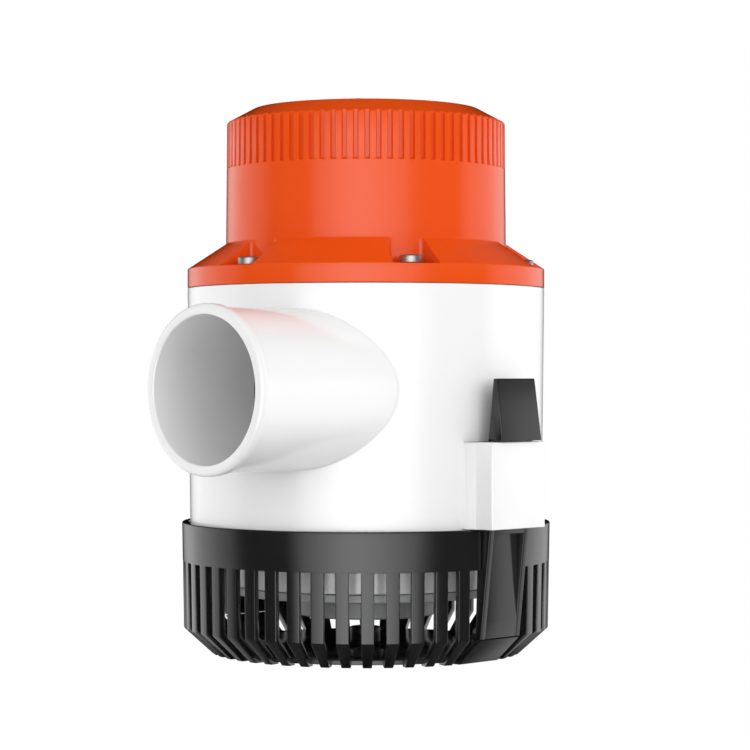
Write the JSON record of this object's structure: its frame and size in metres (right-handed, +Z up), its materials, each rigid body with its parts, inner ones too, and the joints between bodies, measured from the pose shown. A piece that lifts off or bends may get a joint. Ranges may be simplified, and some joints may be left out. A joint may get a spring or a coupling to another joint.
{
  "type": "bilge pump",
  "caption": "Submersible centrifugal bilge pump: slotted strainer with two latches, round body with a side hose outlet, and a fluted motor cap held by flange screws.",
  "frame": {"origin": "on the pump's axis, at the underside of the strainer, where it rests on the hull", "axes": "+Z up along the pump's axis, -Y the way the outlet points, X through the two strainer latches"},
  "size_m": [0.137, 0.1532, 0.1832],
  "materials": {
    "black_plastic": "moulded, semi-gloss",
    "white_plastic": "moulded, glossy",
    "grey_plastic": "moulded, satin",
    "orange_plastic": "moulded, semi-gloss",
    "rubber": "moulded, matt",
    "stainless": "rolled and turned",
    "steel": "plated, satin",
    "ferrite": "sintered, matt",
    "copper": "enamelled wire",
    "brass": "bright",
    "carbon": "pressed carbon"
  },
  "bodies": {
    "pump": {"strainer_basket": "black_plastic", "pump_body": "white_plastic", "suction_plate": "grey_plastic", "body_seal": "rubber", "cap_seal": "rubber", "motor_barrel": "grey_plastic", "shaft_seal": "rubber", "seal_retainer": "stainless", "motor_can": "steel", "brush_plate": "black_plastic", "end_bell": "steel", "bearing_lower": "stainless", "bearing_upper": "stainless", "lower_cushion": "rubber", "top_cushion": "rubber", "magnet_1": "ferrite", "magnet_2": "ferrite", "brush_box_1": "brass", "brush_box_2": "brass", "brush_1": "carbon", "brush_2": "carbon", "brush_spring_1": "stainless", "brush_spring_2": "stainless", "through_bolt_1": "stainless", "through_bolt_2": "stainless", "motor_cap": "orange_plastic", "cable_gland": "rubber", "gland_nut": "brass", "flange_screw_1": "stainless", "flange_screw_2": "stainless", "flange_screw_3": "stainless", "flange_screw_4": "stainless", "flange_screw_5": "stainless", "flange_screw_6": "stainless"},
    "rotor": {"shaft": "stainless", "impeller": "black_plastic", "impeller_nut": "stainless", "armature_core": "steel", "winding_lower": "copper", "winding_upper": "copper", "commutator": "copper"},
    "right_latch": {"latch_finger_right": "black_plastic"},
    "left_latch": {"latch_finger_left": "black_plastic"}
  },
  "joints": [
    {"name": "rotor_spin", "type": "hinge", "parent": "pump", "child": "rotor", "pos_m": [0, 0, 0.1], "axis": [0, 0, 1], "continuous": true},
    {"name": "right_latch_flex", "type": "hinge", "parent": "pump", "child": "right_latch", "pos_m": [0.0583, 0, 0.0084], "axis": [0, -1, 0], "range_deg": [0, 3.2], "stiffness_Nm_per_rad": 2},
    {"name": "left_latch_flex", "type": "hinge", "parent": "pump", "child": "left_latch", "pos_m": [-0.0583, 0, 0.0084], "axis": [0, 1, 0], "range_deg": [0, 3.2], "stiffness_Nm_per_rad": 2}
  ]
}
